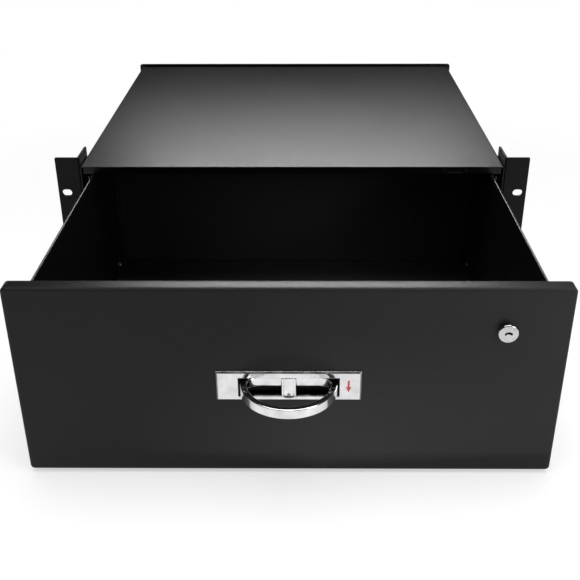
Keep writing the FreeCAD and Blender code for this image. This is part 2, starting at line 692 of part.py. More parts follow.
panel = node("PartDesign::Body", "front_panel")
add(panel, "XZ", panel_front, panel_front + s.panel_rim,
    lambda k: box(k, -panel_side, -panel_top, panel_side, panel_top))
soften(panel, "Fillet", s.panel_corner, lambda e: runs_along(e, "y", x=panel_side))
soften(panel, "Fillet", s.panel_bend, lambda e: near(e.BoundBox.YMax, panel_front))
cut(panel, "XZ", panel_back, panel_front + s.panel_rim, lambda k: box(
    k, -panel_side + s.panel_sheet, -panel_top + s.panel_sheet,
    panel_side - s.panel_sheet, panel_top - s.panel_sheet))

# Weld studs behind the panel, with nuts inside the drawer, so nothing shows in front.
stud_side = drawer_inside - s.tab_width / 2
stud_levels = [tab_low + (tab_high - tab_low) * share for share in (0.08, 0.5, 0.92)]
stud_places = [(side * stud_side, z) for _, side in SIDES for z in stud_levels]
stud_length = s.drawer_sheet * 2 + nut_height + 2.0
stud = doc.addObject("PartDesign::Body", "panel_stud")
add(stud, "XY", 0, stud_length, lambda k: circle(k, 0, 0, s.screw))
for x, z in stud_places:
    for body, low in ((front, panel_back), (tray, inner_front)):
        cut(body, "XZ", low, low + s.drawer_sheet,
            lambda k: circle(k, x, z, s.screw + s.hole_fit))
copies("panel_studs", stud, [(x, panel_back, z, facing(0, 1, 0)) for x, z in stud_places])
panel_nut = master_nut("panel_nut", 7.0, nut_height, s.screw + s.hole_fit)
copies("panel_nuts", panel_nut,
       [(x, inner_front + s.drawer_sheet, z, facing(0, 1, 0)) for x, z in stud_places])


# ---------------------------------------------------------------- handle

handle_level = -s.handle_drop
pivot = panel_front + 0.1
window_top = handle_level + s.window_height / 2
window_low = handle_level - s.window_height / 2
collar_side = s.window_half + s.bezel_wall
collar_top = window_top + s.bezel_wall
collar_low = window_low - s.bezel_wall
collar_back = panel_front + 7.5
bezel_front = panel_front - s.bezel_sheet
bezel_mid = handle_level + s.bezel_lift
boss_side = (s.bezel_width / 2 + collar_side) / 2

# Chromed frame: bevelled face plate, collar through the panel, and two screw bosses.
bezel = node("PartDesign::Body", "handle_bezel")
add(bezel, "XZ", bezel_front, panel_front, lambda k: box(
    k, -s.bezel_width / 2, bezel_mid - s.bezel_height / 2,
    s.bezel_width / 2, bezel_mid + s.bezel_height / 2))
soften(bezel, "Chamfer", s.bezel_sheet * 0.6, lambda e: near(e.BoundBox.YMax, bezel_front))
add(bezel, "XZ", panel_front, collar_back,
    lambda k: box(k, -collar_side, collar_low, collar_side, collar_top))
cut(bezel, "XZ", bezel_front, collar_back,
    lambda k: box(k, -s.window_half, window_low, s.window_half, window_top))
for _, side in SIDES:
    add(bezel, "XZ", panel_front, inner_front,
        lambda k: circle(k, side * boss_side, handle_level, s.boss))
    cut(bezel, "XZ", panel_front - 0.8, inner_front,
        lambda k: circle(k, side * boss_side, handle_level, 1.25))

# Black pocket behind the panel that swallows the bail when it is turned inwards.
housing = node("PartDesign::Body", "handle_housing")
pocket_half = collar_side + s.hole_fit
pocket_low = collar_low - s.hole_fit
pocket_top = collar_top + s.hole_fit
housing_half = pocket_half + s.housing_wall
flange_low = pocket_low - s.housing_wall * 2
flange_top = pocket_top + s.housing_wall * 2
add(housing, "XY", pocket_low - s.housing_wall, pocket_top + s.housing_wall,
    lambda k: arch(k, housing_half, inner_front, collar_back))
add(housing, "XZ", inner_front, inner_front + s.housing_wall, lambda k: box(
    k, -s.bezel_width / 2, flange_low, s.bezel_width / 2, flange_top))
cut(housing, "XY", pocket_low, pocket_top,
    lambda k: arch(k, pocket_half, inner_front, collar_back))
for _, side in SIDES:
    cut(housing, "XZ", inner_front, inner_front + s.housing_wall,
        lambda k: circle(k, side * boss_side, handle_level, 1.5))

for body, low in ((panel, panel_front), (front, panel_back)):
    sheet_depth = s.panel_sheet if body is panel else s.drawer_sheet
    cut(body, "XZ", low, low + sheet_depth, lambda k: box(
        k, -collar_side - s.hole_fit, collar_low - s.hole_fit,
        collar_side + s.hole_fit, collar_top + s.hole_fit))
    for _, side in SIDES:
        cut(body, "XZ", low, low + sheet_depth,
            lambda k: circle(k, side * boss_side, handle_level, s.boss + s.hole_fit))

handle_screw = master_screw("handle_screw", s.housing_wall + 2.6, head=2.6, head_height=1.8,
                            shank=1.2)
copies("handle_screws", handle_screw,
       [(side * boss_side, inner_front + s.housing_wall, handle_level, facing(0, 1, 0))
        for _, side in SIDES])

# Turning bail: half ring, straight rear bar, and a hub on the upright axle.
rotor = node("PartDesign::Body", "handle_rotor")
strip_low = handle_level - s.bail_height / 2
strip_top = handle_level + s.bail_height / 2
bar_rear = pivot + s.bail_back
bar_front = bar_rear - s.bail_strip
hub_front = pivot - s.bezel_sheet - 0.8
hub_low = window_low + s.turn_gap + 0.5
hub_top = window_top - s.turn_gap
add(rotor, "XY", strip_low, strip_top, lambda k: bow_cut(k, s.bail_reach, pivot, bar_rear))
soften(rotor, "Fillet", s.bail_strip, lambda e: runs_along(e, "z", y=bar_rear))
cut(rotor, "XY", strip_low, strip_top,
    lambda k: bow_cut(k, s.bail_reach - s.bail_strip, pivot, bar_front))
soften(rotor, "Fillet", s.bail_strip * 1.8, lambda e: runs_along(e, "z", y=bar_front))
soften(rotor, "Fillet", s.bail_strip * 0.18,
       lambda e: near(e.BoundBox.ZLength, 0) and e.Length > s.hub.value)
add(rotor, "XY", hub_low, hub_top, lambda k: circle(k, 0, pivot, s.hub))
add(rotor, "XY", strip_low + 1, strip_top - 1, lambda k: box(
    k, -s.hub * 0.6, pivot, s.hub * 0.6, bar_front + s.bail_strip / 2))
cut(rotor, "XY", hub_low, hub_top, lambda k: circle(k, 0, pivot, s.axle + s.hole_fit))
cut(rotor, "XY", hub_low, hub_top, lambda k: box(
    k, -s.hub, pivot - s.hub, s.hub, hub_front))
for _, side in SIDES:
    cut(rotor, "XY", hub_low, hub_top, lambda k: box(
        k, side * s.hub * 0.54, hub_front, side * s.hub * 0.68, hub_front + 1.5))
grub_level = hub_low + 1.9
cut(rotor, "XZ", hub_front, pivot - s.axle, lambda k: circle(k, 0, grub_level, 1.25))

# The grub screw bites on the axle, which turns with the bail in the collar's holes.
grub = node("PartDesign::Body", "handle_grub_screw")
grub_front = hub_front + 0.2
add(grub, "XZ", grub_front, pivot - s.axle, lambda k: circle(k, 0, grub_level, 1.2))
cut(grub, "XZ", grub_front, grub_front + 0.8, lambda k: circle(k, 0, grub_level, 0.65))

axle = node("PartDesign::Body", "handle_axle")
add(axle, "XY", collar_low, collar_top, lambda k: circle(k, 0, pivot, s.axle))
cut(bezel, "XY", collar_low - 1, collar_top + 1, lambda k: circle(k, 0, pivot, s.axle + s.hole_fit))

washer = node("PartDesign::Body", "handle_washer")
add(washer, "XY", window_low, window_low + 0.5, lambda k: circle(k, 0, pivot, s.hub * 0.8))
cut(washer, "XY", window_low, window_low + 0.5,
    lambda k: circle(k, 0, pivot, s.axle + s.hole_fit * 2))


# ---------------------------------------------------------------- lock

lock_face = panel_front - s.lock_proud
barrel_end = panel_front + s.lock_length

# Barrel with a proud round head; the plug turns in it.
lock = node("PartDesign::Body", "lock_body")
add(lock, "XZ", lock_face, panel_front, lambda k: circle(k, lock_x, lock_z, s.lock_head))
soften(lock, "Fillet", s.lock_proud * 0.2, lambda e: near(e.BoundBox.YMax, lock_face))
add(lock, "XZ", panel_front, barrel_end, lambda k: circle(k, lock_x, lock_z, s.lock_barrel))
cut(lock, "XZ", lock_face, barrel_end,
    lambda k: circle(k, lock_x, lock_z, s.plug + s.plug_fit))
face_depth = 2.0
cut(lock, "XZ", lock_face, lock_face + face_depth,
    lambda k: circle(k, lock_x, lock_z, s.plug_face + s.plug_fit))
key_tab = 1.5
add(lock, "XZ", panel_front, inner_front, lambda k: box(
    k, lock_x - key_tab, lock_z - s.lock_barrel - 1.2, lock_x + key_tab, lock_z - s.plug - 1))
for body, low in ((panel, panel_front), (front, panel_back)):
    sheet_depth = s.panel_sheet if body is panel else s.drawer_sheet
    cut(body, "XZ", low, low + sheet_depth,
        lambda k: circle(k, lock_x, lock_z, s.lock_barrel + s.hole_fit))
    cut(body, "XZ", low, low + sheet_depth, lambda k: box(
        k, lock_x - key_tab - s.hole_fit, lock_z - s.lock_barrel - 1.2 - s.hole_fit,
        lock_x + key_tab + s.hole_fit, lock_z - s.lock_barrel * 0.5))

lock_nut = node("PartDesign::Body", "lock_nut")
lock_nut_height = 4.0


def nut_outline(sketch):
    corner = 20.0 / math.sqrt(3)
    polygon(sketch, [(lock_x + corner * math.cos(math.radians(60 * i)),
                      lock_z + corner * math.sin(math.radians(60 * i))) for i in range(6)])


add(lock_nut, "XZ", inner_front, inner_front + lock_nut_height, nut_outline)
cut(lock_nut, "XZ", inner_front, inner_front + lock_nut_height,
    lambda k: circle(k, lock_x, lock_z, s.lock_barrel + s.hole_fit))

# Plug with a bowed keyway and five wafer slots; its square tail carries the cam.
plug = node("PartDesign::Body", "lock_plug")
tail_half = 2.5
cam_front = barrel_end + 0.5
cam_back = cam_front + s.cam_sheet
add(plug, "XZ", lock_face, lock_face + face_depth - 0.3,
    lambda k: circle(k, lock_x, lock_z, s.plug_face))
add(plug, "XZ", lock_face + face_depth - 0.3, cam_front,
    lambda k: circle(k, lock_x, lock_z, s.plug))
add(plug, "XZ", cam_front, cam_back, lambda k: box(
    k, lock_x - tail_half, lock_z - tail_half, lock_x + tail_half, lock_z + tail_half))


def keyway(sketch):
    """Bowed slot, taller in the middle than its ends are."""
    half, bow, thick = 3.2, 1.5, 2.0
    rows = [(-half, -bow / 2), (-half / 2, bow * 0.3), (0, bow / 2), (half / 2, bow * 0.3),
            (half, -bow / 2), (half * 0.8, -bow / 2 - thick), (half / 2, bow * 0.3 - thick),
            (0, bow / 2 - thick), (-half / 2, bow * 0.3 - thick), (-half * 0.8, -bow / 2 - thick)]
    polygon(sketch, [(lock_x + x, lock_z + 1.2 + z) for x, z in rows])


cut(plug, "XZ", lock_face, barrel_end - 2, keyway)
wafer_sheet = 1.0
wafer_pitch = 2.2
wafer_first = lock_face + 5.0
wafer_half = 1.6
wafer_tall = s.plug - 0.3
wafers = []
for i in range(5):
    low = wafer_first + wafer_pitch * i
    cut(plug, "XZ", low, low + wafer_sheet, lambda k: box(
        k, lock_x - wafer_half, lock_z - s.plug - 1, lock_x + wafer_half, lock_z + s.plug + 1))
    wafer = doc.addObject("PartDesign::Body", "wafer")
    add(wafer, "XZ", low + 0.1, low + wafer_sheet - 0.1, lambda k: box(
        k, lock_x - wafer_half + 0.1, lock_z - wafer_tall, lock_x + wafer_half - 0.1,
        lock_z + wafer_tall))
    wafers.append(wafer)
wafer_group = node("Part::Compound", "lock_wafers")
wafer_group.Links = wafers

# Cam, lying sideways while the lock is open; a quarter turn brings it up behind the strike.
cam = node("PartDesign::Body", "lock_cam")
cam_length = strike_mid - lock_z + s.cam_catch
tip = lock_x - cam_length
add(cam, "XZ", cam_front, cam_back, lambda k: box(
    k, tip, lock_z - s.cam_half, lock_x + s.cam_half, lock_z + s.cam_half))
soften(cam, "Fillet", s.cam_half * 0.6, lambda e: runs_along(e, "y"))
cut(cam, "XZ", cam_front, cam_back, lambda k: box(
    k, lock_x - tail_half - s.hole_fit, lock_z - tail_half - s.hole_fit,
    lock_x + tail_half + s.hole_fit, lock_z + tail_half + s.hole_fit))
cam_screw_hole = 1.5
cut(plug, "XZ", cam_back - 5, cam_back, lambda k: circle(k, lock_x, lock_z, cam_screw_hole))
cam_screw = master_screw("cam_screw_master", 4.5, head=4.2, head_height=2.0, shank=1.45)
copies("cam_screw", cam_screw, [(lock_x, cam_back, lock_z, facing(0, 1, 0))])


# ---------------------------------------------------------------- export

doc.recompute()
for thing in doc.Objects:
    if "Invalid" in thing.State or "Error" in thing.State:
        raise RuntimeError(f"{thing.Label} did not build")
for thing in NODES:
    if thing.Shape.isNull() or not thing.Shape.isValid():
        raise RuntimeError(f"{thing.Label} has a faulty shape")
    thing.Shape.exportStep(os.path.join("parts", f"{thing.Label}.step"))
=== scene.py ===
import math

import bmesh
import bpy
from mathutils import Matrix, Vector


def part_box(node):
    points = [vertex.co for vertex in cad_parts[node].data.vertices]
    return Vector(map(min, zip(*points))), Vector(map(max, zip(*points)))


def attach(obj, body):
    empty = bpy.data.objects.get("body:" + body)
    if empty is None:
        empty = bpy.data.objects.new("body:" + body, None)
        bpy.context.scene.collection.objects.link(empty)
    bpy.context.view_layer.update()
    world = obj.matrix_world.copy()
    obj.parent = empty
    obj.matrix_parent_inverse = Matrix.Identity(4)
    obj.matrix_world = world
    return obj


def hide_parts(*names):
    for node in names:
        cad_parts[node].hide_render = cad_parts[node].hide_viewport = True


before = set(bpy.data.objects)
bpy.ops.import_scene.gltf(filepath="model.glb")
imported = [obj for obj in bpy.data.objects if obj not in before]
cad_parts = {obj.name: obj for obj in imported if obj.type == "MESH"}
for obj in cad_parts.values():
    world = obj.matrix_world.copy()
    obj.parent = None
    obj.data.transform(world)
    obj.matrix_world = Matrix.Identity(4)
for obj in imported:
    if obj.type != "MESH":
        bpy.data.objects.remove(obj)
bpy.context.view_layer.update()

# ---------------------------------------------------------------- camera
# A short portrait lens, 0.6 m in front of the panel and 0.4 m above its middle, that looks
# down on the panel and the case's top. The set is shown without tone mapping.

MM = 0.001
camera_data = bpy.data.cameras.new("camera")
camera_data.sensor_width = 36.0
camera_data.lens = 55.27
camera_data.shift_x = -0.0079
camera_data.shift_y = -0.0015
camera = bpy.data.objects.new("camera", camera_data)
turned_left, tipped_down, leaned = math.radians(0.50), math.radians(28.11), math.radians(-0.18)
camera.matrix_world = (
    Matrix.Translation((9.86 * MM, -858.46 * MM, 396.37 * MM))
    @ Matrix.Rotation(turned_left, 4, "Z")
    @ Matrix.Rotation(math.radians(90) - tipped_down, 4, "X")
    @ Matrix.Rotation(leaned, 4, "Z"))
bpy.context.scene.collection.objects.link(camera)
bpy.context.scene.camera = camera
bpy.context.scene.view_settings.view_transform = "Standard"


# ---------------------------------------------------------------- floor
# A wide sheet of satin white card under the case's feet. It keeps the shadow and a faint
# reflection near the drawer, and runs out into plain white further away.

class Finish:
    """A node material in the making: its shader, and the patterns that feed it."""

    def __init__(self, name):
        self.made = bpy.data.materials.new(name)
        self.made.use_nodes = True
        self.nodes = self.made.node_tree.nodes
        self.join = self.made.node_tree.links.new
        self.shader = self.nodes["Principled BSDF"]
        self.place = self.nodes.new("ShaderNodeTexCoord").outputs["Object"]

    def set(self, **values):
        """Plain values or pattern sockets for the shader's inputs, by name."""
        for name, value in values.items():
            socket = self.shader.inputs[name.replace("_", " ")]
            if isinstance(value, bpy.types.NodeSocket):
                self.join(value, socket)
            else:
                socket.default_value = value

    def span(self, value, start, stop, low, high):
        """A value that goes from low to high while the given one goes from start to stop."""
        node = self.nodes.new("ShaderNodeMapRange")
        self.join(value, node.inputs["Value"])
        for name, number in (("From Min", start), ("From Max", stop),
                             ("To Min", low), ("To Max", high)):
            node.inputs[name].default_value = number
        return node.outputs["Result"]

    def noise(self, scale, detail=2.0, stretch=(1, 1, 1)):
        """Noise with so many cells to the metre, and more of them along a stretched axis."""
        sized = self.nodes.new("ShaderNodeMapping")
        sized.inputs["Scale"].default_value = stretch
        self.join(self.place, sized.inputs["Vector"])
        node = self.nodes.new("ShaderNodeTexNoise")
        node.inputs["Scale"].default_value = scale
        node.inputs["Detail"].default_value = detail
        self.join(sized.outputs["Vector"], node.inputs["Vector"])
        return node.outputs["Fac"]

    def mixed(self, share, first, second):
        """A colour between two, by share. Each is a colour or a socket."""
        node = self.nodes.new("ShaderNodeMix")
        node.data_type = "RGBA"
        self.join(share, node.inputs["Factor"])
        for socket, colour in ((node.inputs[6], first), (node.inputs[7], second)):
            if isinstance(colour, bpy.types.NodeSocket):
                self.join(colour, socket)
            else:
                socket.default_value = (*colour, 1)
        return node.outputs[2]

    def split(self, vector):
        """The parts of a vector socket, by axis."""
        node = self.nodes.new("ShaderNodeSeparateXYZ")
        self.join(vector, node.inputs[0])
        return node.outputs

    def math(self, operation, first, second=0.0):
        """What a calculation makes of one or two values, each a number or a socket."""
        node = self.nodes.new("ShaderNodeMath")
        node.operation = operation
        for socket, value in zip(node.inputs, (first, second)):
            if isinstance(value, bpy.types.NodeSocket):
                self.join(value, socket)
            else:
                socket.default_value = value
        return node.outputs["Value"]

    def bump(self, height, depth, strength, under=None):
        """A surface raised by a pattern, depth metres high, on top of another normal."""
        node = self.nodes.new("ShaderNodeBump")
        node.inputs["Strength"].default_value = strength
        node.inputs["Distance"].default_value = depth
        self.join(height, node.inputs["Height"])
        if under:
            self.join(under, node.inputs["Normal"])
        return node.outputs["Normal"]

    def edges(self, radius):
        """Normals rounded over at the edges, and a mask that is 1 on an edge."""
        rounded = self.nodes.new("ShaderNodeBevel")
        rounded.samples = 4
        rounded.inputs["Radius"].default_value = radius
        flat = self.nodes.new("ShaderNodeNewGeometry")
        likeness = self.nodes.new("ShaderNodeVectorMath")
        likeness.operation = "DOT_PRODUCT"
        self.join(rounded.outputs["Normal"], likeness.inputs[0])
        self.join(flat.outputs["Normal"], likeness.inputs[1])
        return rounded.outputs["Normal"], self.span(likeness.outputs["Value"], 0.72, 0.97, 1, 0)


card_reach, card_gap = 6.0, 0.0002
grey_until, white_from, white_share = 0.28, 0.80, 0.46
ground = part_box("case_base")[0].z
sheet = bmesh.new()
bmesh.ops.create_grid(sheet, x_segments=1, y_segments=1, size=card_reach)
bmesh.ops.translate(sheet, verts=sheet.verts, vec=(0, 0, ground - card_gap))
floor_data = bpy.data.meshes.new("floor")
sheet.to_mesh(floor_data)
sheet.free()
floor = bpy.data.objects.new("floor", floor_data)
bpy.context.scene.collection.objects.link(floor)

card = Finish("floor_card")
card.set(Base_Color=(1, 1, 1, 1), Roughness=0.2, Specular_IOR_Level=0.4)
away = card.nodes.new("ShaderNodeVectorMath")
away.operation = "LENGTH"
card.join(card.place, away.inputs[0])
far_share = card.span(away.outputs["Value"], grey_until, white_from, white_share, 1.0)
seen_by = card.nodes.new("ShaderNodeLightPath")
card_white = card.nodes.new("ShaderNodeEmission")
card_mix = card.nodes.new("ShaderNodeMixShader")
seen = card.math("MAXIMUM", seen_by.outputs["Is Camera Ray"], seen_by.outputs["Is Glossy Ray"])
card.join(card.math("MULTIPLY", far_share, seen), card_mix.inputs["Fac"])
card.join(card.shader.outputs["BSDF"], card_mix.inputs[1])
card.join(card_white.outputs["Emission"], card_mix.inputs[2])
card.join(card_mix.outputs["Shader"], card.nodes["Material Output"].inputs["Surface"])
floor_data.materials.append(card.made)


# ---------------------------------------------------------------- tent and lamps
# A white tent round the set, seen plain white. For gloss it is dark cloth low down, so that
# black paint keeps its depth and chrome its dark lines. Three softboxes light the drawer.

cloth_dark, cloth_white, dark_level, room_level = 0.80, 0.97, 0.012, 0.38
world = bpy.data.worlds.new("tent")
world.use_nodes = True
bpy.context.scene.world = world
tent = world.node_tree.nodes
hang = world.node_tree.links.new
direction = tent.new("ShaderNodeTexCoord")
height = tent.new("ShaderNodeSeparateXYZ")
hang(direction.outputs["Generated"], height.inputs[0])
cloth = tent.new("ShaderNodeMapRange")
cloth.interpolation_type = "SMOOTHSTEP"
hang(height.outputs["Z"], cloth.inputs["Value"])
for setting, number in (("From Min", cloth_dark), ("From Max", cloth_white),
                        ("To Min", dark_level), ("To Max", 1)):
    cloth.inputs[setting].default_value = number
ray = tent.new("ShaderNodeLightPath")
diffuse_or_gloss = tent.new("ShaderNodeMix")
hang(ray.outputs["Is Glossy Ray"], diffuse_or_gloss.inputs["Factor"])
diffuse_or_gloss.inputs["A"].default_value = room_level
hang(cloth.outputs["Result"], diffuse_or_gloss.inputs["B"])
tent_seen = tent.new("ShaderNodeMix")
hang(ray.outputs["Is Camera Ray"], tent_seen.inputs["Factor"])
hang(diffuse_or_gloss.outputs["Result"], tent_seen.inputs["A"])
tent_seen.inputs["B"].default_value = 1.0
hang(tent_seen.outputs["Result"], tent["Background"].inputs["Strength"])
tent["Background"].inputs["Color"].default_value = (1, 1, 1, 1)

for name, place, aim, width, depth, brightness, spread in (
        ("overhead_softbox", (0.0, -0.15, 2.2), (0, -0.15, 0), 2.4, 1.9, 3.6, 180),
        ("rear_softbox", (0.02, 1.0, 0.655), (0.01, -0.12, 0.08), 0.78, 0.18, 1.62, 52),
        ("side_softbox", (0.75, -0.85, 0.30), (0.1, -0.27, 0), 0.35, 0.35, 8.0, 180)):
    lamp_data = bpy.data.lights.new(name, "AREA")
    lamp_data.shape = "RECTANGLE"
    lamp_data.size, lamp_data.size_y = width, depth
    lamp_data.energy = brightness * math.pi * width * depth
    lamp_data.spread = math.radians(spread)
    lamp = bpy.data.objects.new(name, lamp_data)
    lamp.location = place
    lamp.rotation_euler = (Vector(aim) - Vector(place)).to_track_quat("-Z", "Y").to_euler()
    lamp.visible_camera = False
    bpy.context.scene.collection.objects.link(lamp)


# ---------------------------------------------------------------- case
# Wrapper, base and rear cover, each folded from mild steel sheet and powder coated black
# with a fine sand texture after folding. The base is riveted to the wrapper's feet.

def powder_coat(name, colour, grain, gloss=0.2, roughness=0.30, painted_shade_facing=("Y", 1.0), drift_and_painted_light=None,
                rim=None):
    """Black powder coat: sand grain on a faint orange peel, slow tone changes, worn edges.
    Faces looking along painted_shade_facing's axis, either way, keep only its share of the
    colour, as painted shade; a tone pattern passed in may paint light and shade too.
    A rim is where the sheet has been folded over a wide bend."""
    edge_radius, fold_radius, peel_depth, grain_depth = 0.0009, 0.0045, 0.00008, 0.00006
    darker, thick, worn, speck = ([c * share for c in colour] for share in (0.3, 1.7, 2.6, 3.0))
    coat = Finish(name)
    # The tone pattern passed in may paint light and shade into the colour, as well as vary it at
    # random.
    drift_and_painted_light = drift_and_painted_light(coat) if drift_and_painted_light else coat.span(coat.noise(6.0, 3.0), 0.3, 0.7, 0.43, 0.57)
    rounded, edge = coat.edges(edge_radius)
    if rim:
        folded = coat.nodes.new("ShaderNodeMix")
        folded.data_type = "VECTOR"
        for socket, value in ((folded.inputs["Factor"], rim(coat)), (folded.inputs[4], rounded),
                              (folded.inputs[5], coat.edges(fold_radius)[0])):
            coat.join(value, socket)
        rounded = folded.outputs[1]
    tone = coat.mixed(coat.span(drift_and_painted_light, 0.3, 0.7, 0, 1), darker, thick)
    axis, share = painted_shade_facing
    way = coat.split(coat.nodes.new("ShaderNodeNewGeometry").outputs["True Normal"])
    # Painted shade: faces looking along the axis are darkened to the given share of the colour.
    painted_shade_mask = coat.span(coat.math("ABSOLUTE", way[axis]), 0.7, 0.98, 1.0, share)
    tone = coat.mixed(painted_shade_mask, (0, 0, 0), tone)
    specks = coat.span(coat.noise(2600.0, 1.0), 0.66, 0.74, 0, 0.35)
    tone = coat.mixed(specks, tone, speck)
    rubbed = coat.math("MULTIPLY", edge, coat.span(coat.noise(60.0, 3.0), 0.4, 0.65, 0.15, 0.8))
    peel = coat.bump(coat.noise(420.0), peel_depth, grain / 2, rounded)
    coat.set(Base_Color=coat.mixed(rubbed, tone, worn),
             Roughness=coat.span(drift_and_painted_light, 0.3, 0.7, roughness - 0.03, roughness + 0.03),
             Specular_IOR_Level=gloss,
             Normal=coat.bump(coat.noise(1500.0), grain_depth, grain, peel))
    return coat.made


def dress(finish, *names):
    """Give CAD nodes their finish."""
    for name in names:
        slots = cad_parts[name].data.materials
        slots.clear()
        slots.append(finish)


def case_shade_and_drift(coat):
    """Coat darker towards the case's rear and its left, as painted shade, with slow random tone
    changes.
    """
    place = coat.split(coat.place)
    # Painted shade: darker to the left and to the rear; the cloudy part below is random.
    left = coat.span(place["X"], -0.21, 0.0, -0.10, 0)
    rear = coat.span(place["Y"], 0.15, 0.40, 0, -0.08)
    cloudy = coat.span(coat.noise(6.0, 3.0), 0.3, 0.7, 0.47, 0.57)
    return coat.math("ADD", coat.math("ADD", left, rear), cloudy)


# Painted shade: the case's faces that look forwards or backwards, such as its front lip, keep a tenth
# of the colour.
case_coat = powder_coat("case_coat", (0.0100, 0.0100, 0.0100), 2.0, painted_shade_facing=("Y", 0.1),
                        drift_and_painted_light=case_shade_and_drift)
dress(case_coat, "case_wrapper", "case_base", "rear_cover")


# ---------------------------------------------------------------- rear cover screws
# Eight M4 pan-head screws with a cross recess, coated black, through the rear cover into
# the flanges of the wrapper and the base.

def solids(node):
    """Lowest and highest corner, in millimetres, of each separate solid of a CAD node."""
    whole = bmesh.new()
    whole.from_mesh(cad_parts[node].data)
    bmesh.ops.remove_doubles(whole, verts=whole.verts, dist=1e-6)
    left, boxes = set(whole.verts), []
    while left:
        reached = [left.pop()]
        corners = []
        while reached:
            vert = reached.pop()
            corners.append(vert.co / MM)
            for edge in vert.link_edges:
                other = edge.other_vert(vert)
                if other in left:
                    left.remove(other)
                    reached.append(other)
        boxes.append((Vector(map(min, *corners)), Vector(map(max, *corners))))
    whole.free()
    return boxes


def facing(spot, towards):
    """A matrix that brings the origin to a spot, and Z to a direction."""
    turn = Vector(towards).to_track_quat("Z", "Y")
    return Matrix.Translation(spot) @ turn.to_matrix().to_4x4()


def fixings(node, towards, level):
    """A matrix for each fastener of a node: its middle line, its seat's level along the
    direction in millimetres, and its head's direction. A direction of X is outwards."""
    places = []
    axis = max(range(3), key=lambda i: abs(towards[i]))
    for low, high in solids(node):
        middle = (low + high) / 2
        side = -1 if axis == 0 and middle.x < 0 else 1
        middle[axis] = level * side
        places.append(facing(middle, Vector(towards) * side))
    return places


def turned(profile, steps=32):
    """A lathe-turned shape round Z, from (radius, height) points of its outline."""
    shape = bmesh.new()
    line = [shape.verts.new((radius, 0, level)) for radius, level in profile]
    cuts = [shape.edges.new(pair) for pair in zip(line, line[1:])]
    bmesh.ops.spin(shape, geom=line + cuts, cent=(0, 0, 0), axis=(0, 0, 1),
                   angle=2 * math.pi, steps=steps, use_merge=True)
    bmesh.ops.remove_doubles(shape, verts=shape.verts, dist=1e-5)
    bmesh.ops.recalc_face_normals(shape, faces=shape.faces)
    return shape


def threaded(radius, length, pitch):
    """Outline points of a screw's shank, from its tip up to z = 0."""
    tip, root = radius * 0.65, radius * 0.82
    points = [(0, -length), (tip, -length)]
    crest = pitch - length
    while crest < -pitch / 2:
        points += [(radius, crest), (root, crest + pitch / 2)]
        crest += pitch
    return points + [(radius, 0)]


def dome(radius, height, top_radius=0.0, steps=6):
    """Outline points of a domed head on z = 0, from its rim to its top."""
    rim_share = 0.2
    points = [(radius, 0), (radius, height * rim_share)]
    for i in range(1, steps + 1):
        angle = math.pi / 2 * i / steps
        points.append((top_radius + (radius - top_radius) * math.cos(angle),
                       height * (rim_share + (1 - rim_share) * math.sin(angle))))
    return points


def cross_screw(radius, length, pitch, head, height):
    """Pan-head machine screw with its seat at z = 0 and a cross recess in its head."""
    flat, arm, half, recess, taper = head * 0.62, head * 0.5, head * 0.11, height * 0.55, 0.7
    shape = turned(threaded(radius, length, pitch) + dome(head, height, flat), 28)
    rim = [edge for edge in shape.edges if edge.is_boundary]
    corners = [(arm, -half), (arm, half), (half, half), (half, arm), (-half, arm), (-half, half),
               (-arm, half), (-arm, -half), (-half, -half), (-half, -arm), (half, -arm),
               (half, -half)]
    lip = [shape.verts.new((x, y, height)) for x, y in corners]
    cross = [shape.edges.new(pair) for pair in zip(lip, lip[1:] + lip[:1])]
    bmesh.ops.triangle_fill(shape, edges=rim + cross, use_beauty=True)
    sunk = bmesh.ops.extrude_edge_only(shape, edges=cross)["geom"]
    deep = [part for part in sunk if isinstance(part, bmesh.types.BMVert)]
    bmesh.ops.translate(shape, verts=deep, vec=(0, 0, -recess))
    bmesh.ops.scale(shape, verts=deep, vec=(taper, taper, 1))
    floor_edges = [part for part in sunk if isinstance(part, bmesh.types.BMEdge)
                   and part.verts[0] in deep and part.verts[1] in deep]
    bmesh.ops.triangle_fill(shape, edges=floor_edges, use_beauty=True)
    bmesh.ops.recalc_face_normals(shape, faces=shape.faces)
    return shape


def merged(shapes):
    """Several shapes in one."""
    group = bmesh.new()
    for shape in shapes:
        data = bpy.data.meshes.new("part")
        shape.to_mesh(data)
        shape.free()
        group.from_mesh(data)
        bpy.data.meshes.remove(data)
    return group


def repeated(template, places):
    """Copies of a shape, each turned and moved by its matrix, in one shape."""
    copies = [template.copy() for _ in places]
    for copy, place in zip(copies, places):
        bmesh.ops.transform(copy, matrix=place, verts=copy.verts)
    template.free()
    return merged(copies)


def piece(name, shape, finish, slot, body, *nodes, crease=35):
    """Make a shape in millimetres into a piece that rides on a body and stands for nodes."""
    bmesh.ops.scale(shape, verts=shape.verts, vec=(MM, MM, MM))
    data = bpy.data.meshes.new(name)
    shape.to_mesh(data)
    shape.free()
    data.shade_smooth()
    data.set_sharp_from_angle(angle=math.radians(crease))
    data.materials.append(finish)
    made = bpy.data.objects.new(name, data)
    bpy.context.scene.collection.objects.link(made)
    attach(made, body)
    if nodes:
        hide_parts(*nodes)


m4_screw = {"radius": 2.0, "pitch": 0.7, "head": 3.7, "height": 2.4}
cover_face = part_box("rear_cover")[1].y / MM
piece("rear_cover_screws",
      repeated(cross_screw(length=6.0, **m4_screw), fixings("rear_screws", (0, 1, 0), cover_face)),
      case_coat, "case_powder_coat", "case", "rear_screws")


# ---------------------------------------------------------------- base rivets
# Steel blind rivets with low domed heads inside the case, coated with it, that hold the
# base to the wrapper's turned-in feet. Their tails are flush under the feet.

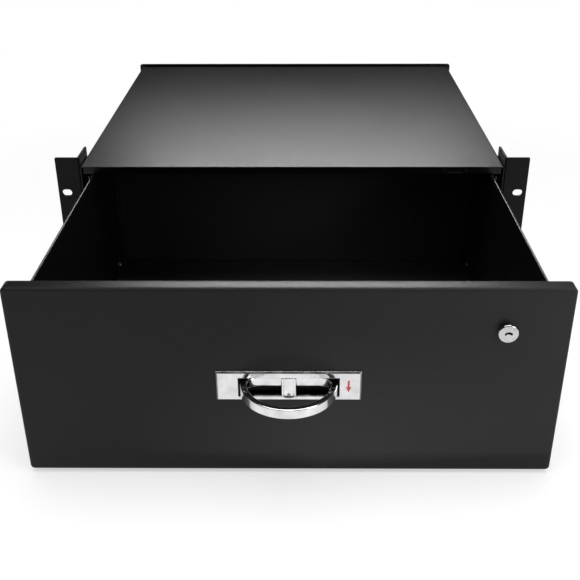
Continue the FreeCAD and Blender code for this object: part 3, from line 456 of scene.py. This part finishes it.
def rivet(grip, radius=2.0, head=3.2, height=0.8):
    """Low domed rivet with its seat at z = 0 and a flush tail."""
    return turned([(0, -grip), (radius, -grip), (radius, 0)] + dome(head, height), 28)


base_grip = 2.4
base_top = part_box("base_rivets")[0].z / MM + base_grip
piece("base_rivet_heads",
      repeated(rivet(base_grip), fixings("base_rivets", (0, 0, 1), base_top)),
      case_coat, "case_powder_coat", "case", "base_rivets")


# ---------------------------------------------------------------- rack ears
# Angles of 2 mm steel, coated like the case, that carry it in the rack: two slots in each
# front leg for the rack's screws. M4 screws and nuts hold the long legs to the case's sides.

# Painted shade: the ears' faces that look forwards or backwards keep 70 % of the colour.
ear_coat = powder_coat("ear_coat", (0.007, 0.007, 0.007), 0.9, 0.1, painted_shade_facing=("Y", 0.7))
dress(ear_coat, "left_ear", "right_ear")


def zinc_plate(name, colour=(0.60, 0.61, 0.63), streak=(1, 1, 1)):
    """Bright zinc plate: faint blue and straw tints, dull patches, fine scratches, and a
    painted highlight along its edges.
    """
    zinc = Finish(name)
    cloud = zinc.noise(55.0, 4.0)
    rounded, edge = zinc.edges(0.0003)
    tint = zinc.mixed(zinc.span(cloud, 0.3, 0.7, 0, 1), [c * 0.86 for c in colour],
                      [c * f for c, f in zip(colour, (1.06, 1.03, 0.97))])
    scratch = zinc.noise(700.0, 3.0, streak)
    # Painted highlight: the base colour is lighter along the edges.
    zinc.set(Base_Color=zinc.mixed(zinc.span(edge, 0, 1, 0, 0.5), tint, (0.8, 0.8, 0.8)),
             Metallic=1.0, Roughness=zinc.span(cloud, 0.25, 0.75, 0.24, 0.42),
             Normal=zinc.bump(scratch, 0.00002, 0.35, rounded))
    return zinc.made


def hex_nut(across, height, bore):
    """Hexagon nut from z = 0 up, with its corners chamfered."""
    shape = bmesh.new()
    for segments, radius in ((6, across / math.sqrt(3)), (24, bore)):
        bmesh.ops.create_circle(shape, segments=segments, radius=radius)
    bmesh.ops.triangle_fill(shape, edges=shape.edges[:], use_beauty=True)
    top = bmesh.ops.extrude_face_region(shape, geom=shape.faces[:], use_keep_orig=True)["geom"]
    bmesh.ops.translate(shape, vec=(0, 0, height),
                        verts=[part for part in top if isinstance(part, bmesh.types.BMVert)])
    bmesh.ops.recalc_face_normals(shape, faces=shape.faces)
    outline = [edge for edge in shape.edges
               if abs(edge.verts[0].co.z - edge.verts[1].co.z) < 1e-6
               and min(vert.co.xy.length for vert in edge.verts) > bore * 1.1]
    rims = [edge for edge in outline if edge.calc_face_angle(0) > 1]
    bmesh.ops.bevel(shape, geom=rims, offset=height * 0.12, offset_type="OFFSET", affect="EDGES",
                    segments=2, profile=0.5, material=-1)
    return shape


zinc = zinc_plate("zinc")
# Zinc darkened for the nuts inside the case's sides: painted shade.
shaded_zinc = zinc_plate("shaded_zinc", (0.12, 0.12, 0.125))
m4_nut = {"across": 7.0, "height": 3.2, "bore": 2.05}
ear_sheet = 2.0
ear_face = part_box("right_ear")[0].x / MM + ear_sheet
case_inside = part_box("ear_nuts")[1].x / MM
piece("ear_fixing_screws",
      repeated(cross_screw(length=6.4, **m4_screw), fixings("ear_screws", (1, 0, 0), ear_face)),
      zinc, "zinc_plate", "case", "ear_screws")
piece("ear_fixing_nuts",
      repeated(hex_nut(**m4_nut), fixings("ear_nuts", (-1, 0, 0), case_inside)),
      shaded_zinc, "zinc_plate", "case", "ear_nuts")


# ---------------------------------------------------------------- lock strike
# A plate of zinc-plated steel behind the case's front lip, for the cam to catch on, coloured
# near black as painted shade. Two small flat rivets hold it, painted over with the case.

lip_face = 0.0
dress(zinc_plate("painted_shade_zinc", (0.03, 0.03, 0.031)), "lock_strike")
piece("strike_rivet_heads",
      repeated(rivet(grip=2.2, radius=1.2, head=1.8, height=0.4),
               fixings("strike_rivets", (0, -1, 0), lip_face)),
      case_coat, "case_powder_coat", "case", "strike_rivets")


# ---------------------------------------------------------------- slides
# Three-part telescopic ball slides, roll-formed from zinc-plated steel strip: outer rails on
# the case, inner rails on the drawer, and middle rails that travel half as far.

rolled = zinc_plate("rolled_zinc", (0.58, 0.59, 0.62), (1, 0.02, 1))
dress(rolled, *[f"{side}_{part}_rail" for side in ("left", "right")
                for part in ("outer", "middle", "inner")])


# ---------------------------------------------------------------- ball cages
# Folded strips of thin steel that keep the balls a fixed distance apart, twelve in each of a
# cage's two flanges. They roll between the rails and travel half as far as these part.

ball_radius, balls_in_row = 1.4, 12


def ball_cage(side, web, lip, row, ball_x, length, sheet=0.4):
    """C-shaped strip with a row of round holes in each flange, its middle at the origin."""
    pitch, sides, hole_radius = length / balls_in_row, 16, ball_radius * 1.1
    low, high = sorted((side * web, side * lip))
    shape = bmesh.new()
    for i in range(balls_in_row):
        middle = -length / 2 + pitch * (i + 0.5)
        hole = bmesh.ops.create_circle(shape, segments=sides, radius=hole_radius)["verts"]
        bmesh.ops.translate(shape, verts=hole, vec=(side * ball_x, middle, row))
        frame_corners = [shape.verts.new((x, y, row)) for x, y in (
            (low, middle - pitch / 2), (high, middle - pitch / 2),
            (high, middle + pitch / 2), (low, middle + pitch / 2))]
        sill = [shape.edges.new(pair) for pair in zip(
            frame_corners, frame_corners[1:] + frame_corners[:1])]
        rim = {edge for vert in hole for edge in vert.link_edges}
        bmesh.ops.triangle_fill(shape, edges=list(rim) + sill, use_beauty=True)
    bmesh.ops.remove_doubles(shape, verts=shape.verts, dist=1e-4)
    mirrored = bmesh.ops.duplicate(shape, geom=shape.verts[:] + shape.edges[:] + shape.faces[:])
    bmesh.ops.scale(shape, vec=(1, 1, -1),
                    verts=[part for part in mirrored["geom"] if isinstance(part, bmesh.types.BMVert)])
    fold = [edge for edge in shape.edges if edge.is_boundary
            and all(abs(vert.co.x - side * web) < 1e-4 for vert in edge.verts)]
    bmesh.ops.bridge_loops(shape, edges=fold)
    bmesh.ops.recalc_face_normals(shape, faces=shape.faces)
    bmesh.ops.solidify(shape, geom=shape.faces[:], thickness=sheet)
    bmesh.ops.recalc_face_normals(shape, faces=shape.faces)
    return shape


cage_steel = zinc_plate("cage_steel", (0.50, 0.50, 0.52), (1, 0.05, 1))
for side_name, side in (("left", -1), ("right", 1)):
    for level in ("outer", "inner"):
        name = f"{side_name}_{level}"
        low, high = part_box(f"{name}_ball_cage")
        middle = (low + high) / 2 / MM
        reach = sorted((abs(low.x), abs(high.x)))
        ball_low, ball_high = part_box(f"{name}_balls")
        ball_x = abs(ball_low.x + ball_high.x) / 2 / MM
        strip = ball_cage(side, reach[1] / MM, reach[0] / MM, (high.z - low.z) / 2 / MM,
                          ball_x, (high.y - low.y) / MM)
        bmesh.ops.translate(strip, verts=strip.verts, vec=(0, middle.y, middle.z))
        piece(f"{name}_cage_strip", strip, cage_steel, "zinc_plate", f"{name}_cage",
              f"{name}_ball_cage")


# ---------------------------------------------------------------- balls
# Hardened steel balls of 2.8 mm, ground and polished. They sit in the rails' grooves, and
# the holes of the cages keep them apart.

steel = Finish("ball_steel")
steel.set(Base_Color=(0.62, 0.62, 0.63, 1), Metallic=1.0,
          Roughness=steel.span(steel.noise(900.0, 3.0), 0.3, 0.7, 0.06, 0.16))
for side_name in ("left", "right"):
    for level in ("outer", "inner"):
        name = f"{side_name}_{level}"
        cage_low, cage_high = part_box(f"{name}_ball_cage")
        low, high = (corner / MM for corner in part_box(f"{name}_balls"))
        pitch = (cage_high.y - cage_low.y) / MM / balls_in_row
        ball = bmesh.new()
        bmesh.ops.create_icosphere(ball, subdivisions=2, radius=ball_radius)
        rows = [Matrix.Translation(((low.x + high.x) / 2, cage_low.y / MM + pitch * (i + 0.5), z))
                for i in range(balls_in_row) for z in (low.z + ball_radius, high.z - ball_radius)]
        piece(f"{name}_steel_balls", repeated(ball, rows), steel.made, "zinc_plate",
              f"{name}_cage", f"{name}_balls", crease=180)


# ---------------------------------------------------------------- slide rivets
# Blind rivets through the case's sides and the outer rails, with low heads outside, coated
# with the case. Three on each side, in reach through the rail while it is fitted.

case_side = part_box("case_wrapper")[1].x / MM
piece("slide_rivet_heads",
      repeated(rivet(grip=2.2), fixings("slide_rivets", (1, 0, 0), case_side)),
      case_coat, "case_powder_coat", "case", "slide_rivets")


# ---------------------------------------------------------------- rail buffers
# Moulded black rubber blocks behind the outer rails, which the shutting drawer's rails stop
# against. Rounded all over, with a shallow pocket that lets the rubber give.

def buffer_block(low, high):
    """Block between two corners, with a pocket in its front and all its edges rounded."""
    pocket_wall, pocket_depth, rounding = 2.0, 0.7, 0.5
    shape = bmesh.new()
    bmesh.ops.create_cube(shape, size=1)
    bmesh.ops.scale(shape, verts=shape.verts, vec=high - low)
    bmesh.ops.translate(shape, verts=shape.verts, vec=(low + high) / 2)
    front = [face for face in shape.faces if face.normal.y < -0.5]
    bmesh.ops.inset_individual(shape, faces=front, thickness=pocket_wall)
    bmesh.ops.translate(shape, verts=front[0].verts, vec=(0, pocket_depth, 0))
    bmesh.ops.bevel(shape, geom=shape.edges[:], offset=rounding, offset_type="OFFSET",
                    affect="EDGES", segments=3, profile=0.5, material=-1)
    bmesh.ops.recalc_face_normals(shape, faces=shape.faces)
    return shape


rubber = Finish("moulded_rubber")
bloom = rubber.noise(120.0, 4.0)
rubber.set(Base_Color=rubber.mixed(bloom, (0.018, 0.018, 0.018), (0.042, 0.041, 0.040)),
           Roughness=rubber.span(bloom, 0.3, 0.7, 0.6, 0.8), Specular_IOR_Level=0.3,
           Normal=rubber.bump(rubber.noise(1800.0), 0.00003, 0.5))
for side_name in ("left", "right"):
    low, high = (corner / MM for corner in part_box(f"{side_name}_rail_buffer"))
    piece(f"{side_name}_rubber_buffer", buffer_block(low, high), rubber.made, "buffer_rubber",
          "case", f"{side_name}_rail_buffer", crease=60)


# ---------------------------------------------------------------- drawer box
# Tray, front and back of 1 mm steel sheet, folded, with hemmed rims, and powder coated black,
# lighter low on the floor's middle as painted light. Rivets hold the back's flanges to the tray.

def floor_painted_light(coat):
    """Painted light: the coat lighter low down in the floor's middle, fading out up the back."""
    place = coat.split(coat.place)
    sideways = coat.math("ABSOLUTE", coat.math("ADD", place["X"], -0.04))
    low = coat.span(place["Z"], -0.082, 0.04, 0.40, 0)
    return coat.math("ADD", coat.math("MULTIPLY", low, coat.span(sideways, 0, 0.19, 1, 0.15)), 0.3)


# Painted shade: the drawer's side walls, facing along X, keep 40 % of the colour.
drawer_coat = powder_coat("drawer_coat", (0.034, 0.034, 0.034), 0.6, painted_shade_facing=("X", 0.4),
                          drift_and_painted_light=floor_painted_light)
dress(drawer_coat, "drawer_tray", "drawer_front", "drawer_back")
tray_sheet, side_grip, floor_grip = 1.0, 2.2, 2.0
tray_low, tray_high = (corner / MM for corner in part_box("drawer_tray"))
piece("back_side_rivet_heads",
      repeated(rivet(side_grip), fixings("back_side_rivets", (-1, 0, 0), tray_high.x - side_grip)),
      drawer_coat, "drawer_powder_coat", "drawer", "back_side_rivets")
piece("back_floor_rivet_heads",
      repeated(rivet(floor_grip), fixings("back_floor_rivets", (0, 0, 1), tray_low.z + floor_grip)),
      drawer_coat, "drawer_powder_coat", "drawer", "back_floor_rivets")


# ---------------------------------------------------------------- rail screws
# Zinc-plated M4 screws with cross recesses, driven from inside the drawer: three through
# each side of the tray into the inner rails.

piece("rail_fixing_screws",
      repeated(cross_screw(length=3.4, **m4_screw),
               fixings("rail_screws", (-1, 0, 0), tray_high.x - tray_sheet)),
      zinc, "zinc_plate", "drawer", "rail_screws")


# ---------------------------------------------------------------- front panel
# A plate of 1.5 mm steel, four rack units high, folded back along all four edges and powder
# coated with the same sand texture. Studs welded to its back keep its front face clear.

def panel_painted_light_and_tone(coat):
    """Painted light: the coat lighter low in the panel's middle and towards its lock side.
    Painted shade: darker along its lower fold. Slow random tone changes on top."""
    place = coat.split(coat.place)
    sideways = coat.math("ABSOLUTE", coat.math("ADD", place["X"], -0.03))
    # Painted light: lighter low in the panel's middle.
    low = coat.span(place["Z"], -0.085, 0.05, 0.50, 0)
    low = coat.math("MULTIPLY", low, coat.span(sideways, 0.0, 0.17, 1, 0))
    # Painted light: lighter towards the panel's right.
    painted_right_light = coat.span(place["X"], -0.21, 0.21, 0.20, 0.48)
    cloudy = coat.span(coat.noise(6.0, 3.0), 0.3, 0.7, -0.04, 0.04)
    # Painted shade: darker along the panel's lower fold.
    darker = coat.span(place["Z"], -0.083, -0.066, -0.5, 0)
    return coat.math("ADD", coat.math("ADD", painted_right_light, low), coat.math("ADD", cloudy, darker))


def panel_rim(coat):
    """1 along the panel's four folded edges, and 0 inside them."""
    half_width, half_height, blend = 0.2105, 0.0800, 0.001
    place = coat.split(coat.place)
    across, up = (coat.math("ABSOLUTE", place[axis]) for axis in "XZ")
    return coat.math("MAXIMUM", coat.span(across, half_width, half_width + blend, 0, 1),
                     coat.span(up, half_height, half_height + blend, 0, 1))


panel_coat = powder_coat("panel_coat", (0.0140, 0.0140, 0.0142), 0.7, roughness=0.36,
                         drift_and_painted_light=panel_painted_light_and_tone, rim=panel_rim)
dress(panel_coat, "front_panel")


# ---------------------------------------------------------------- panel studs and nuts
# Zinc-plated M4 weld studs behind the panel, through the drawer's front, each with a nut of
# the same finish inside the drawer.

def weld_stud(radius, length, pitch):
    """Threaded stud from z = 0 up, with a weld collar at its foot and a chamfered tip."""
    collar, root, crest, tip, chamfer = 0.5, radius * 0.84, radius * 0.98, radius * 0.6, 0.4
    level = 0.8
    points = [(0, 0), (radius, 0), (radius, collar), (radius * 0.9, level)]
    while level < length - pitch * 1.4:
        points += [(root, level), (crest, level + pitch / 2)]
        level += pitch
    return turned(points + [(root, length - chamfer), (tip, length), (0, length)], 24)


panel_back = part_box("panel_studs")[0].y / MM
piece("panel_weld_studs",
      repeated(weld_stud(radius=2.0, length=7.2, pitch=0.7),
               fixings("panel_studs", (0, 1, 0), panel_back)),
      zinc, "zinc_plate", "drawer", "panel_studs")
upright = Matrix.Rotation(math.pi / 2, 4, "Z")
piece("panel_fixing_nuts",
      repeated(hex_nut(**m4_nut),
               [place @ upright for place in
                fixings("panel_nuts", (0, 1, 0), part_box("panel_nuts")[0].y / MM)]),
      zinc, "zinc_plate", "drawer", "panel_nuts")


# ---------------------------------------------------------------- handle frame
# Die-cast zinc frame of the recessed handle, chromed, with bevelled edges and a collar through
# the panel. A small red arrow is printed on its right end.

def chrome_plate(name, tone, waves=0.5):
    """Chrome on a die casting: soft waves, fine polishing lines, finger smudges, and a painted
    highlight along its edges.
    """
    chrome = Finish(name)
    smudge = chrome.noise(90.0, 5.0)
    rounded, edge = chrome.edges(0.0004)
    hollow = chrome.bump(chrome.noise(150.0, 2.0), 0.0004, waves, rounded)
    lines = chrome.noise(400.0, 3.0, (0.08, 1, 6))
    tones = chrome.mixed(chrome.span(smudge, 0.35, 0.7, 0, 1), [c * 1.05 for c in tone],
                         [c * 0.86 for c in tone])
    # Painted highlight: the base colour is lighter along the edges.
    chrome.set(Base_Color=chrome.mixed(chrome.span(edge, 0, 1, 0, 0.5), tones, (0.9, 0.9, 0.9)),
               Metallic=1.0, Roughness=chrome.span(smudge, 0.3, 0.75, 0.07, 0.20),
               Normal=chrome.bump(lines, 0.00001, 0.4, hollow))
    return chrome.made


chrome = chrome_plate("handle_chrome", (0.72, 0.72, 0.73))
dress(chrome, "handle_bezel")

frame_low, frame_high = (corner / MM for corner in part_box("handle_bezel"))
half_tall, half_shaft, half_head, neck = 5.4, 0.8, 2.2, -0.6
from_end, drop, lift, enamel_thick = 10.2, 0.8, 0.02, 0.03
arrow = bmesh.new()
outline = [arrow.verts.new((frame_high.x - from_end + x, frame_low.y - lift, z - drop))
           for x, z in ((-half_shaft, half_tall), (half_shaft, half_tall), (half_shaft, neck),
                        (half_head, neck), (0, -half_tall), (-half_head, neck),
                        (-half_shaft, neck))]
arrow.faces.new(outline).normal_update()
bmesh.ops.solidify(arrow, geom=arrow.faces[:], thickness=enamel_thick)
bmesh.ops.recalc_face_normals(arrow, faces=arrow.faces)
enamel = Finish("red_enamel")
worn = enamel.noise(1400.0, 4.0)
enamel.set(Base_Color=enamel.mixed(worn, (0.50, 0.02, 0.02), (0.62, 0.08, 0.06)),
           Roughness=enamel.span(worn, 0.3, 0.7, 0.35, 0.55))
piece("handle_arrow", arrow, enamel.made, "red_enamel", "drawer")


# ---------------------------------------------------------------- bail
# The handle itself: a half ring, a straight bar and a hub, cast in one and chromed, turning
# on an upright steel axle. The hub is pinned to the axle by a grub screw in its front.

dress(chrome_plate("bail_chrome", (0.76, 0.76, 0.77), 0.35), "handle_rotor")

ground_steel = zinc_plate("ground_steel", (0.55, 0.55, 0.57), (1, 1, 0.1))
axle_radius, axle_chamfer = 1.5, 0.4
axle_end = axle_radius - axle_chamfer
axle_low, axle_high = (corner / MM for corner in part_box("handle_axle"))
pin = turned([(0, axle_low.z), (axle_end, axle_low.z), (axle_radius, axle_low.z + axle_chamfer),
              (axle_radius, axle_high.z - axle_chamfer), (axle_end, axle_high.z),
              (0, axle_high.z)], 32)
bmesh.ops.translate(pin, verts=pin.verts, vec=(0, (axle_low.y + axle_high.y) / 2, 0))
piece("handle_pin", pin, ground_steel, "zinc_plate", "handle", "handle_axle")

grub_length, grub_radius, socket_radius, socket_depth = 1.3, 1.2, 0.65, 0.8
grub_low, grub_high = (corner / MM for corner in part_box("handle_grub_screw"))
grub = turned([(0, 0.15), (0.5, 0), (0.9, 0.2), (grub_radius, 0.45), (1.1, 0.6),
               (grub_radius, 0.75), (grub_radius, 1.15), (1.05, grub_length),
               (0.72, grub_length)], 24)
socket_rim = [edge for edge in grub.edges if edge.is_boundary]
hexagon = bmesh.ops.create_circle(grub, segments=6, radius=socket_radius)["verts"]
bmesh.ops.translate(grub, verts=hexagon, vec=(0, 0, grub_length))
hexagon_edges = list({edge for vert in hexagon for edge in vert.link_edges})
bmesh.ops.triangle_fill(grub, edges=socket_rim + hexagon_edges, use_beauty=True)
sunk = bmesh.ops.extrude_edge_only(grub, edges=hexagon_edges)["geom"]
socket_floor = [part for part in sunk if isinstance(part, bmesh.types.BMVert)]
bmesh.ops.translate(grub, verts=socket_floor, vec=(0, 0, -socket_depth))
bmesh.ops.contextual_create(grub, geom=socket_floor)
bmesh.ops.recalc_face_normals(grub, faces=grub.faces)
bmesh.ops.transform(grub, verts=grub.verts, matrix=facing(
    (0, grub_high.y, (grub_low.z + grub_high.z) / 2), (0, -1, 0)))
piece("handle_grub", grub, ground_steel, "zinc_plate", "handle", "handle_grub_screw")


# ---------------------------------------------------------------- wave washer
# Spring-steel wave washer on the axle under the hub. It presses the hub up, and its friction
# holds the bail where it is put.

bore, rim, under, over, wave, waves = 1.62, 4.96, 0.15, 0.35, 0.14, 3
washer_low, washer_high = (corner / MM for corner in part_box("handle_washer"))
washer = turned([(bore, under), (rim, under), (rim, over), (bore, over), (bore, under)], 48)
for vert in washer.verts:
    vert.co.z += wave * math.sin(waves * math.atan2(vert.co.y, vert.co.x))
bmesh.ops.translate(washer, verts=washer.verts,
                    vec=(0, (washer_low.y + washer_high.y) / 2, washer_low.z))
piece("handle_wave_washer", washer, ground_steel, "zinc_plate", "drawer", "handle_washer")


# ---------------------------------------------------------------- handle pocket
# Black moulded pocket behind the frame that gives the fingers room when the bail is turned
# in. Two small screws hold it to the frame's bosses, through the drawer's front.

plastic = Finish("moulded_plastic")
flow = plastic.noise(25.0, 3.0)
rounded = plastic.edges(0.0005)[0]
plastic.set(Base_Color=plastic.mixed(flow, (0.050, 0.050, 0.050), (0.075, 0.075, 0.077)),
            Roughness=plastic.span(flow, 0.3, 0.7, 0.30, 0.42), Specular_IOR_Level=0.5,
            Normal=plastic.bump(plastic.noise(3500.0), 0.00002, 0.5, rounded))
dress(plastic.made, "handle_housing")
small_screw = {"radius": 1.25, "pitch": 0.45, "head": 2.6, "height": 1.8}
flange_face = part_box("handle_screws")[1].y / MM - small_screw["height"]
piece("handle_fixing_screws",
      repeated(cross_screw(length=4.1, **small_screw),
               fixings("handle_screws", (0, 1, 0), flange_face)),
      zinc, "zinc_plate", "drawer", "handle_screws")


# ---------------------------------------------------------------- lock
# Cam lock: a die-cast barrel with a proud round head, satin chromed, keyed in its hole and
# held by a hexagon nut behind the drawer's front.

lock_chrome = chrome_plate("lock_chrome", (0.55, 0.55, 0.56), 0.6)
dress(lock_chrome, "lock_body", "lock_plug")
lock_nut = hex_nut(across=20.0, height=4.0, bore=6.55)
lock_low, lock_high = (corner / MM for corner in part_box("lock_nut"))
lock_seat = ((lock_low.x + lock_high.x) / 2, lock_low.y, (lock_low.z + lock_high.z) / 2)
bmesh.ops.transform(lock_nut, verts=lock_nut.verts, matrix=facing(lock_seat, (0, 1, 0)) @ upright)
piece("lock_fixing_nut", lock_nut, zinc, "zinc_plate", "drawer", "lock_nut")


# ---------------------------------------------------------------- lock wafers
# Five stamped brass wafers across the plug, each with a window at its own height for the
# key's cuts.

window_tall, cut_step = 1.6, 0.35


def wafer(width, height, thick, window):
    """Plate with cut corners and a window that ends at the given height, its middle at the
    origin, thick along y."""
    shape = bmesh.new()
    half, tall, corner, low = width / 2, height / 2, 0.4, window - window_tall
    edge_of_plate = [(-half, corner - tall), (corner - half, -tall), (half - corner, -tall),
                     (half, corner - tall), (half, tall - corner), (half - corner, tall),
                     (corner - half, tall), (-half, tall - corner)]
    side = half * 0.6
    edge_of_window = [(-side, low), (side, low), (side, window), (-side, window)]
    cuts = []
    for ring in (edge_of_plate, edge_of_window):
        corners = [shape.verts.new((x, -thick / 2, z)) for x, z in ring]
        cuts += [shape.edges.new(pair) for pair in zip(corners, corners[1:] + corners[:1])]
    bmesh.ops.triangle_fill(shape, edges=cuts, use_beauty=True)
    bmesh.ops.recalc_face_normals(shape, faces=shape.faces)
    bmesh.ops.solidify(shape, geom=shape.faces[:], thickness=thick)
    bmesh.ops.recalc_face_normals(shape, faces=shape.faces)
    return shape


brass = Finish("stamped_brass")
tarnish = brass.noise(300.0, 4.0)
brass.set(Base_Color=brass.mixed(tarnish, (0.70, 0.52, 0.24), (0.50, 0.34, 0.14)), Metallic=1.0,
          Roughness=brass.span(tarnish, 0.3, 0.7, 0.25, 0.45),
          Normal=brass.bump(brass.noise(900.0, 2.0, (1, 1, 0.1)), 0.00002, 0.4))
plates = []
for i, (low, high) in enumerate(sorted(solids("lock_wafers"), key=lambda box: box[0].y)):
    size = high - low
    plates.append(wafer(size.x, size.z, size.y, window_tall - cut_step * (i * 3 % 5)))
    bmesh.ops.translate(plates[-1], verts=plates[-1].verts, vec=(low + high) / 2)
piece("lock_brass_wafers", merged(plates), brass.made, "brass", "lock_cylinder", "lock_wafers")


# ---------------------------------------------------------------- lock cam
# Flat zinc-plated cam on the plug's square tail, held by a screw. A quarter turn of the key
# swings it up behind the strike.

dress(zinc, "lock_cam")
piece("cam_fixing_screw",
      repeated(cross_screw(radius=1.45, length=4.5, pitch=0.5, head=4.2, height=2.0),
               fixings("cam_screw", (0, 1, 0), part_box("lock_cam")[1].y / MM)),
      zinc, "zinc_plate", "lock_cylinder", "cam_screw")
